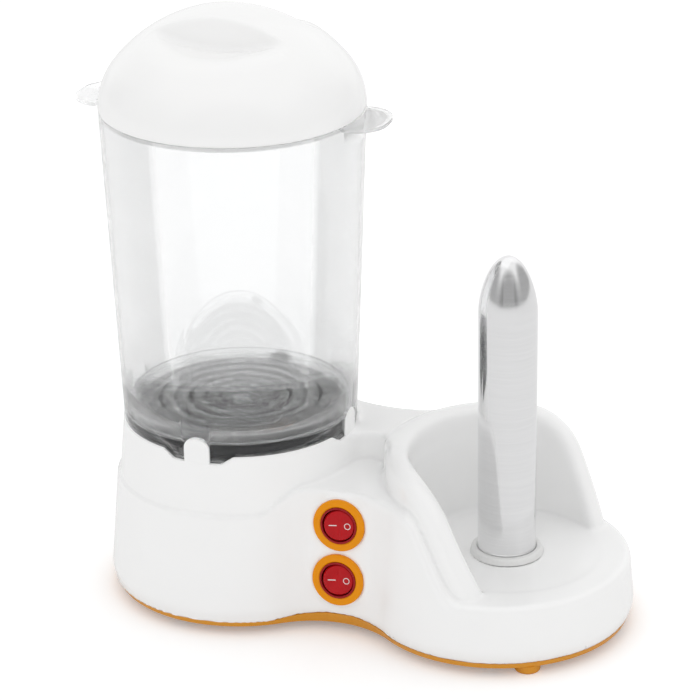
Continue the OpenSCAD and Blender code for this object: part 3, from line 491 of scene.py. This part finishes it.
def repeated(name, unit_mesh, places, turns, material):
    """Plain mesh of a unit set at places, in millimetres, each turned by its Euler angles."""
    unit = bpy.data.objects.new(name + "_unit", unit_mesh)
    cloud = bpy.data.meshes.new(name + "_places")
    cloud.from_pydata([Vector(p) * mm for p in places], [], [])
    mark = cloud.attributes.new("turn", "FLOAT_VECTOR", "POINT")
    mark.data.foreach_set("vector", np.array(turns, float).ravel())
    holder = bpy.data.objects.new(name + "_holder", cloud)
    for o in (unit, holder):
        scene.collection.objects.link(o)
    modifier = holder.modifiers.new("repeat", "NODES")
    modifier.node_group = repeat
    given = {"Unit": unit, "Size": 1.0, "Finish": material}
    for socket in repeat.interface.items_tree:
        if socket.in_out == "INPUT" and socket.name in given:
            modifier[socket.identifier] = given[socket.name]
    bpy.context.view_layer.update()
    ready = holder.evaluated_get(bpy.context.evaluated_depsgraph_get())
    mesh = bpy.data.meshes.new_from_object(ready)
    holder.modifiers.remove(modifier)
    for o in (unit, holder):
        bpy.data.objects.remove(o)
    mesh.name = name
    return mesh


def key_field(x, y, z):
    """Tongue that curves with the turret's wall and is arched above."""
    rho = np.hypot(x, y)
    arch = np.hypot(x / key_widen, np.maximum(z - key_arch_z, 0.0)) - key_arch_r
    form = soft_max(arch, np.maximum(rho - key_out, key_in - rho), 0.7)
    return soft_max(form, key_foot_z - z, 0.4)


points, faces = skin(key_field, key_low, key_high, step=0.4)
keys = repeated("turret_keys", to_mesh("key", points, faces, sharp=50.0),
                [(vessel_x, 0, 0)] * len(key_turns), key_turns, white)
new_piece("turret_keys", keys, white, "base", "white_shell", "housing_turret")

# Spike collar: a satin white heat-proof bush with rounded lips, pushed into the deck from above;
# the polished spike stands in it with a fine dark gap all round.
collar_in, collar_push_r, collar_lip_r, collar_crest_r = 15.7, 18.2, 19.4, 18.6
collar_low, collar_crest_z, collar_top = 32.5, 42.2, 42.6


def rounded(corners, steps=6):
    """Outline through (radius, height, rounding) corners, each rounding drawn as a short arc."""
    line = []
    for i, (r, z, soft) in enumerate(corners):
        here = np.array((r, z), float)
        if soft <= 0:
            line.append(here)
            continue
        before = np.array(corners[i - 1][:2], float) - here
        after = np.array(corners[(i + 1) % len(corners)][:2], float) - here
        before, after = before / np.linalg.norm(before), after / np.linalg.norm(after)
        half = math.acos(float(np.clip(before @ after, -1, 1))) / 2
        reach = soft / math.tan(half)
        for t in np.linspace(0, 1, steps + 1):
            a, b = here + before * reach * (1 - t), here + after * reach * t
            line.append(a * (1 - t) + b * t)
    return line


def lathe(outline, centre=(0.0, 0.0), n=160):
    """Points and faces of a closed outline of (radius, height) turned about an upright axis."""
    shape = np.array(outline, float)
    m = len(shape)
    a = np.linspace(0, 2 * math.pi, n, endpoint=False)
    points = np.stack([centre[0] + np.outer(np.cos(a), shape[:, 0]),
                       centre[1] + np.outer(np.sin(a), shape[:, 0]),
                       np.tile(shape[:, 1], (n, 1))], -1).reshape(-1, 3)
    faces = [(i * m + j, (i + 1) % n * m + j, (i + 1) % n * m + (j + 1) % m, i * m + (j + 1) % m)
             for i in range(n) for j in range(m)]
    return points, faces


collar_white = finish("white_satin", ((0.80, 0.80, 0.79), (0.83, 0.83, 0.82)), (0.34, 0.44),
                      grain=700.0, relief=0.00001)
line = rounded([
    (collar_in, collar_low, 0.3), (collar_push_r, collar_low, 0.3), (collar_push_r, deck_z, 0),
    (collar_lip_r, deck_z, 0), (collar_crest_r, collar_crest_z, 1.6), (collar_in, collar_top, 0.6)])
new_piece("spike_collar_ring", to_mesh("spike_collar_ring", *lathe(line, (spike_x, 0)), sharp=50.0),
          collar_white, "base", "white_collar", "spike_collar")

# Bread spike: a drawn steel tube with a rounded tip, polished along its turning lines, flanged
# below and held up against its collar by a steel plate; a rod heater stands inside it.
spike_r, spike_bore, spike_root_r, flange_r = 15.4, 13.8, 15.6, 20.4
flange_low, flange_top, root_top, body_low = 30.5, 32.5, 43.1, 43.3
tip_z, tip_h, tip_fullness, tip_wall = 176.0, 30.0, 1.25, 3.0
tip_bore, tip_bore_z = 9.7, 192.5
polished = finish("polished_steel", ((0.80, 0.80, 0.805), (0.84, 0.84, 0.845)), (0.12, 0.17),
                  grain=90.0, stretch=(0.3, 0.3, 14.0), relief=0.000002, Metallic=1.0)
tip = [(spike_r * math.cos(t), tip_z + tip_h * math.sin(t) ** tip_fullness)
       for t in np.linspace(0, math.pi / 2, 28)]
foot = [(spike_bore, flange_low), (flange_r, flange_low), (flange_r, flange_top),
        (spike_root_r, flange_top), (spike_root_r, root_top), (spike_r, body_low)]
inside = [(0.0, tip_z + tip_h), (0.0, tip_z + tip_h - tip_wall), (tip_bore, tip_bore_z), (spike_bore, tip_z)]
line = foot + tip[:-1] + inside
new_piece("bread_spike_tube", to_mesh("bread_spike_tube", *lathe(line, (spike_x, 0), n=192), sharp=35.0),
          polished, "base", "spike_metal", "bread_spike")

# Switch rings: two glossy orange trim rings with a rounded outer edge and a shallow dished face,
# pressed into the panel round each switch barrel.
ring_in, ring_push_r, ring_out = 10.05, 11.15, 14.2
ring_depth, ring_h, ring_in_h = 4.0, 2.0, 1.5
ring_dish_r, ring_dish_h, ring_lip_r = 12.2, 1.85, 10.75
orange_gloss = finish("orange_gloss", ((0.82, 0.285, 0.0015), (0.86, 0.305, 0.002)), (0.18, 0.24),
                      grain=120.0, relief=0.00001, Specular_IOR_Level=0.18)
ring_line = rounded([
    (ring_in, -ring_depth, 0.3), (ring_push_r, -ring_depth, 0.3), (ring_push_r, 0.0, 0),
    (ring_out, 0.0, 0.1), (ring_out, ring_h, 0.9), (ring_dish_r, ring_dish_h, 0),
    (ring_lip_r, ring_h, 0.3), (ring_in, ring_in_h, 0.3)])


def panel_place(z):
    """Frame of a switch: its third axis points out of the leaning panel."""
    s, c = math.sin(lean_angle), math.cos(lean_angle)
    return Matrix(((1, 0, 0, waist_x), (0, s, -c, panel_y(z)), (0, c, s, z), (0, 0, 0, 1)))


for name, z in (("upper", upper_z), ("lower", lower_z)):
    mesh = to_mesh(name + "_switch_ring", *lathe(ring_line), frame_at=panel_place(z), sharp=35.0)
    new_piece(name + "_switch_ring", mesh, orange_gloss, "base", "orange_trim", name + "_trim_ring")

# Switch barrels and blades: dark red barrels with a bore for the ball of the rocker, snapped into
# the rings from the front, and two bare brass blades at the back of each.


def dress(material, *nodes):
    """Gives carried-over solids their finish."""
    for node in nodes:
        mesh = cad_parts[node].data
        mesh.materials.clear()
        mesh.materials.append(material)


barrel_red = finish("barrel_red", ((0.30, 0.006, 0.010), (0.35, 0.008, 0.013)), (0.25, 0.34),
                    grain=400.0, Specular_IOR_Level=0.25)
dress(barrel_red, "upper_switch_case", "lower_switch_case")
brass = finish("bare_brass", ((0.62, 0.42, 0.15), (0.70, 0.50, 0.20)), (0.22, 0.38), grain=500.0,
               Metallic=1.0)
dress(brass, "upper_switch_terminals", "lower_switch_terminals", "terminal_screws")

# Rockers: glossy red polycarbonate balls cut to two shallow dished halves, which turn on moulded
# pins in the barrel; the raised half carries a white bar and the pressed half a white ring.
ball_r, ball_low, pin_r, pin_half, pin_drop = 8.7, -4.0, 1.2, 9.8, 1.5
face_z, half_tilt = 2.8, math.radians(10.0)
half_mid, half_dish_x, half_dish_y, half_dish_depth = 4.3, 3.9, 6.8, 0.35
rocker_low, rocker_high = (-9.2, -10.2, -4.6), (9.2, 10.2, 5.2)
mark_proud, mark_sunk = 0.07, 0.25
bar_start, bar_end, bar_half, bar_round = -5.7, -1.5, 0.24, 2.2
off_x, off_in, off_out = 4.2, 1.38, 1.76
red = finish("rocker_red", ((0.46, 0.004, 0.008), (0.52, 0.006, 0.011)), (0.14, 0.20), grain=150.0,
             relief=0.00001, Specular_IOR_Level=0.22)
mark_white = finish("mark_white", ((0.80, 0.80, 0.79), (0.85, 0.85, 0.84)), (0.3, 0.4), grain=900.0)


def rocker_top(x, y):
    """Height of the rocker's face above its pin: two halves that rise outwards, a little dished."""
    dish = 1.0 - ((np.abs(x) - half_mid) / half_dish_x) ** 2 - (y / half_dish_y) ** 2
    return face_z + np.abs(x) * math.tan(half_tilt) - half_dish_depth * np.clip(dish, 0.0, 1.0)


def rocker_field(x, y, z):
    """Ball cut by its face above and flat below, with a pin at each side."""
    ball = np.sqrt(x * x + y * y + z * z) - ball_r
    form = soft_max(ball, (z - rocker_top(x, y)) * 0.98, 0.55)
    form = np.maximum(form, ball_low - z)
    pin = np.maximum(np.hypot(x, z) - pin_r, np.abs(y) - pin_half)
    return np.minimum(form, pin)


def inlay(x, y, loop):
    """Thin raised mark over a grid of places on the rocker's face, whose rows close if it is a loop."""
    rows, cols = x.shape
    top = rocker_top(x, y)
    points = np.concatenate([np.stack([x, y, top + mark_proud], -1).reshape(-1, 3),
                             np.stack([x, y, top - mark_sunk], -1).reshape(-1, 3)])
    under = rows * cols
    next_row = [(i, (i + 1) % rows) for i in range(rows if loop else rows - 1)]
    faces = []
    for i, k in next_row:
        for j in range(cols - 1):
            q = (i * cols + j, k * cols + j, k * cols + j + 1, i * cols + j + 1)
            faces += [q, tuple(under + corner for corner in q[::-1])]
    edges = [(i * cols + j, k * cols + j) for i, k in next_row for j in (0, cols - 1)]
    if not loop:
        edges += [(i * cols + j, i * cols + j + 1) for i in (0, rows - 1) for j in range(cols - 1)]
    faces += [(a, b, under + b, under + a) for a, b in edges]
    return points, faces


rocker_points, rocker_faces = skin(rocker_field, rocker_low, rocker_high, step=0.26)
bar_x, bar_y = np.meshgrid(np.linspace(bar_start, bar_end, 15), np.linspace(-bar_half, bar_half, 4),
                           indexing="ij")
bar_along = np.abs(bar_x - (bar_start + bar_end) / 2) / bar_round
bar_y = bar_y * np.sqrt(np.clip(1.0 - bar_along ** 8, 0.05, 1.0))
spin, reach = np.meshgrid(np.linspace(0, 2 * math.pi, 40, endpoint=False),
                          np.linspace(off_in, off_out, 4), indexing="ij")
on_bar = inlay(bar_x, bar_y, False)
off_ring = inlay(off_x + reach * np.cos(spin), reach * np.sin(spin), True)
for name, z in (("upper", upper_z), ("lower", lower_z)):
    place = panel_place(z) @ Matrix.Translation((0, 0, -pin_drop)) @ Matrix.Rotation(half_tilt, 4, "Y")
    body = name + "_rocker"
    mesh = to_mesh(body + "_ball", rocker_points, rocker_faces, place, sharp=50.0)
    new_piece(body + "_ball", mesh, red, body, "red_rocker", body)
    for mark, shape in (("_bar", on_bar), ("_ring", off_ring)):
        mesh = to_mesh(body + mark, *shape, place, sharp=50.0)
        new_piece(body + mark, mesh, mark_white, body, "red_rocker")

# Water dish and its seal: a dark coated aluminium pressing with rounded bends, held up against a
# soft ring under the turret's ledge by a zinc-plated clamp.
dish_t, basin_z, basin_r, basin_foot_r = 1.2, 92.0, 52.0, 48.8
flange_z, dish_wall_r, dish_rim_z = 98.0, 58.5, 105.3
coated = finish("dark_coating", ((0.016, 0.017, 0.018), (0.026, 0.027, 0.028)), (0.34, 0.46),
                grain=260.0, relief=0.00001, Specular_IOR_Level=0.06)
line = rounded([
    (0.0, basin_z - dish_t, 0), (basin_r, basin_z - dish_t, 1.6), (basin_r, flange_z, 0.6),
    (dish_wall_r, flange_z, 1.2), (dish_wall_r, dish_rim_z, 0.5), (dish_wall_r - dish_t, dish_rim_z, 0.5),
    (dish_wall_r - dish_t, flange_z + dish_t, 1.0), (basin_r - dish_t, flange_z + dish_t, 1.4),
    (basin_foot_r, basin_z, 1.2), (0.0, basin_z, 0)])
new_piece("water_dish_pan", to_mesh("water_dish_pan", *lathe(line, (vessel_x, 0), n=192), sharp=40.0), coated,
          "base", "dish_metal", "water_dish")
silicone = finish("seal_silicone", ((0.020, 0.020, 0.021), (0.032, 0.032, 0.033)), (0.5, 0.65), grain=600.0)
dress(silicone, "dish_seal")

# Heaters and cut-outs under the dish and in the spike: heat-tinted steel tubes, a disc thermostat,
# a tinned fuse in its strap, a ceramic plug and zinc-plated holders.
tinted = finish("tinted_steel", ((0.20, 0.17, 0.14), (0.30, 0.27, 0.24)), (0.35, 0.5), grain=120.0,
                Metallic=1.0)
dress(tinted, "ring_element", "spike_heater")
zinc = finish("zinc_sheet", ((0.48, 0.48, 0.49), (0.60, 0.60, 0.61)), (0.28, 0.42), grain=220.0,
              stretch=(1, 6, 1), Metallic=1.0)
dress(zinc, "dish_clamp", "fuse_strap", "spike_bracket")
phenolic = finish("phenolic", ((0.018, 0.018, 0.019), (0.030, 0.030, 0.031)), (0.4, 0.55), grain=500.0)
dress(phenolic, "thermostat")
tinned = finish("tinned", ((0.52, 0.50, 0.42), (0.60, 0.58, 0.50)), (0.25, 0.4), grain=500.0, Metallic=1.0)
dress(tinned, "thermal_fuse")
ceramic = finish("ceramic", ((0.70, 0.66, 0.56), (0.78, 0.74, 0.65)), (0.6, 0.75), grain=350.0,
                 relief=0.00003)
dress(ceramic, "heater_plug")

# Wiring: a cream terminal block on the base plate, leads in woven glass sleeves, and a black
# rubber gland in the back of the waist where the mains lead comes in.
cream = finish("block_cream", ((0.74, 0.70, 0.60), (0.80, 0.76, 0.66)), (0.45, 0.6), grain=500.0)
dress(cream, "terminal_block")
sleeve = finish("glass_sleeve", ((0.50, 0.48, 0.42), (0.66, 0.64, 0.58)), (0.6, 0.8), grain=2600.0,
                relief=0.00008)
dress(sleeve, "internal_leads")
gland_black = finish("gland_black", ((0.010, 0.010, 0.011), (0.018, 0.018, 0.019)), (0.5, 0.65),
                     grain=700.0, relief=0.00001)
dress(gland_black, "cord_gland")

# Base plate: one satin orange ABS moulding that closes the housing from below. Its edge shows all
# round and rises at the waist.
orange = finish("orange_satin", ((0.72, 0.30, 0.014), (0.76, 0.32, 0.018)), (0.30, 0.38), grain=900.0,
                relief=0.00001)
dress(orange, "base_plate")

# Screws: zinc-plated pan heads with a cross recess; six in the base plate, three in the dish clamp
# and three in the spike bracket, each kind drawn once and set on its places.
base_screw_z = 6.3
clamp_circle, clamp_screw_z = 56.25, 89.3
bracket_circle, bracket_screw_z = 28.0, 28.5
cross_half, cross_reach, cross_depth = 0.42, 0.55, 0.35
turn_each = 0.4
plated = finish("zinc_screw", ((0.50, 0.50, 0.51), (0.62, 0.62, 0.64)), (0.2, 0.34), grain=900.0,
                Metallic=1.0)


def screw_unit(name, head_r, head_h, shank_r, length):
    """Screw that points up: head below zero, shank above, with a cross recess in the head."""

    def field(x, y, z):
        rho = np.hypot(x, y)
        head = soft_max(rho - head_r, np.maximum(-z - head_h, z), 0.35)
        cross = np.minimum(np.maximum(np.abs(x) - cross_half, np.abs(y) - cross_reach * head_r),
                           np.maximum(np.abs(y) - cross_half, np.abs(x) - cross_reach * head_r))
        head = np.maximum(head, -np.maximum(cross, z + cross_depth * head_h))
        shank = np.maximum(rho - shank_r, np.maximum(z - length, -z - 0.2))
        return np.minimum(head, shank)

    side = head_r + 0.5
    points, faces = skin(field, (-side, -side, -head_h - 0.5), (side, side, length + 0.5), head_r / 12.0)
    return to_mesh(name, points, faces, sharp=40.0)


def on_circle(cx, radius, angles, z):
    """Places on a level circle about an upright axis, at angles in degrees."""
    return [(cx + radius * math.cos(a), radius * math.sin(a), z) for a in map(math.radians, angles)]


base_places = (on_circle(vessel_x, boss_circle, vessel_bosses, base_screw_z)
               + on_circle(lobe_x, boss_circle, lobe_bosses, base_screw_z))
clamp_places = on_circle(vessel_x, clamp_circle, (30, 150, 270), clamp_screw_z)
bracket_places = on_circle(spike_x, bracket_circle, (90, 210, 330), bracket_screw_z)
for name, node, sizes, places in (
        ("base_plate_screws", "base_screws", (3.2, 1.4, 1.65, 16.2), base_places),
        ("dish_clamp_screws", "clamp_screws", (2.6, 2.0, 1.25, 4.4), clamp_places),
        ("spike_bracket_screws", "bracket_screws", (2.6, 2.0, 1.25, 6.4), bracket_places)):
    turns = [(0, 0, turn_each * i) for i in range(len(places))]
    mesh = repeated(name, screw_unit(name + "_one", *sizes), places, turns, plated)
    new_piece(name, mesh, plated, "base", "screw_steel", node)

# Feet: four soft orange rubber pads with a rounded tread, two under each lobe, each with a stud
# that is pressed through the base plate.
foot_r, foot_h, stud_r, stud_top = 6.8, 4.5, 2.2, 8.0
tread_in, tread_out, foot_edge_z = 4.3, 6.1, 0.9
foot_hollow_r, foot_hollow_z = 3.6, 0.6
vessel_foot_circle, lobe_foot_circle = 52.0, 63.0
rubber = finish("orange_rubber", ((0.68, 0.28, 0.016), (0.73, 0.31, 0.020)), (0.55, 0.7), grain=800.0,
                relief=0.00002)
line = rounded([
    (0.0, foot_hollow_z, 0), (foot_hollow_r, foot_hollow_z, 0.3), (tread_in, 0.0, 0.3),
    (tread_out, 0.0, 0.4), (foot_r, foot_edge_z, 0.5), (foot_r, foot_h, 0.3),
    (stud_r, foot_h, 0.2), (stud_r, stud_top, 0.4), (0.0, stud_top, 0)])
places = (on_circle(vessel_x, vessel_foot_circle, (133, 227), 0)
          + on_circle(lobe_x, lobe_foot_circle, (-58, 58), 0))
mesh = repeated("foot_pads", to_mesh("foot_pad", *lathe(line, n=72), sharp=45.0), places,
                [(0, 0, 0)] * len(places), rubber)
new_piece("foot_pads", mesh, rubber, "base", "orange_rubber", "feet")

# Vessel: a clear styrene moulding, open below, with a polished wall of 2.2 mm, two lifting tabs,
# an inner ledge and four arched notches; it stands on the turret and lifts off.
notch_top, notch_reach, notch_widen, vessel_foot_r = 112.0, 12.5, 1.25, 59.0
clear = finish("clear_styrene", ((0.935, 0.940, 0.942), (0.950, 0.954, 0.956)), (0.0, 0.012), grain=25.0,
               Transmission_Weight=1.0, IOR=1.45, Alpha=0.7)


def merged_copy(name, node, sharp):
    """Welded copy of a solid, with rounded shading on its curved faces."""
    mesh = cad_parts[node].data.copy()
    mesh.name = name
    work = bmesh.new()
    work.from_mesh(mesh)
    bmesh.ops.remove_doubles(work, verts=work.verts, dist=1e-7)
    bmesh.ops.recalc_face_normals(work, faces=work.faces)
    work.to_mesh(mesh)
    work.free()
    shade_smooth(mesh, sharp)
    return mesh


def widen_notches(mesh):
    """Draws each notch wider along the wall, to the width of the key that stands in it."""
    quarter = math.pi / 2
    for v in mesh.vertices:
        x, y, z = v.co.x / mm - vessel_x, v.co.y / mm, v.co.z / mm
        rho, turn = math.hypot(x, y), math.atan2(y, x)
        if z > notch_top or rho <= vessel_foot_r:
            continue
        along = rho * (turn - round(turn / quarter) * quarter)
        nearest = max(0.0, min(abs(along), notch_reach - abs(along)))
        turn += math.copysign(notch_widen * nearest / (notch_reach / 2), along) / rho
        v.co.x, v.co.y = (vessel_x + rho * math.cos(turn)) * mm, rho * math.sin(turn) * mm


vessel_mesh = merged_copy("steam_vessel_wall", "steam_vessel", 25.0)
widen_notches(vessel_mesh)
new_piece("steam_vessel_wall", vessel_mesh, clear, "vessel", "clear_vessel", "steam_vessel")

# Tray: a clear moulded disc with ring slots between raised ridges, six spokes and a centre knob,
# which lies on the ledge of the vessel above the water.
tray_clear = finish("tray_styrene", ((0.93, 0.94, 0.945), (0.95, 0.96, 0.965)), (0.0, 0.02), grain=60.0,
                    Transmission_Weight=1.0, IOR=1.4, Alpha=0.4)
new_piece("steam_tray_disc", merged_copy("steam_tray_disc", "steam_tray", 25.0), tray_clear, "tray",
          "clear_tray", "steam_tray")

# Lid: a glossy white dome of 2.4 mm wall, hollow, with a grip bar left standing between two soft
# scoops and a lip that drops inside the rim of the vessel.
lid_z, lid_h, lid_t = 272.0, 52.5, 2.4
flank_mid, flank_r = 32.7, 37.0
lid_r = flank_mid + flank_r
crown_drop = 26.743
crown_r = lid_h + crown_drop
bar_half_w, bar_slope, bar_steep, bar_top = 15.0, 0.25, 1.031, 51.0
scoop_r, scoop_low, scoop_tilt = 105.0, 34.5, math.radians(4.0)
seat_in, seat_out, seat_h = 64.6, 67.8, 6.0
lip_out, lip_drop, lip_h = 66.6, 3.0, 1.0


def dome(x, y, h):
    """Dome of a crown that runs tangent into a rounder flank, with a scoop at each side of the bar."""
    rho = np.hypot(x, y)
    crown = np.hypot(rho, h + crown_drop) - crown_r
    flank = np.hypot(rho - flank_mid, h) - flank_r
    form = np.where(rho * crown_drop < flank_mid * (h + crown_drop), crown, flank)
    out = np.abs(y) - bar_half_w
    up = (h - scoop_low) * math.cos(scoop_tilt) - out * math.sin(scoop_tilt)
    bar_side = (bar_slope * (bar_top - h) - out) / bar_steep
    scoop = soft_max(np.hypot(x, up - scoop_r) - scoop_r, bar_side, 3.5)
    return soft_max(form, -scoop, 1.5 + 5.0 * share(out, 1.0, 8.0))


def lid_field(x, y, z):
    """Shell of the dome with the seat that rests on the vessel's rim and the lip inside it."""
    dx, h = x - vessel_x, z - lid_z
    rho = np.hypot(dx, y)
    form = dome(dx, y, h)
    shell = np.maximum(soft_max(form, -h, 0.8), -(form + lid_t))
    seat = np.maximum(np.maximum(seat_in - rho, rho - seat_out), np.maximum(-h, h - seat_h))
    lip = soft_max(np.maximum(seat_in - rho, rho - lip_out), np.maximum(-lip_drop - h, h - lip_h), 0.5)
    return np.minimum(np.minimum(shell, seat), lip)


lid_low = (vessel_x - lid_r - 1.2, -lid_r - 1.2, lid_z - 4.4)
lid_high = (vessel_x + lid_r + 1.2, lid_r + 1.2, lid_z + lid_h + 1.3)
points, faces = skin(lid_field, lid_low, lid_high, step=0.92)
new_piece("lid_dome", to_mesh("lid_dome", points, faces, sharp=60.0), white, "lid", "white_shell", "lid")
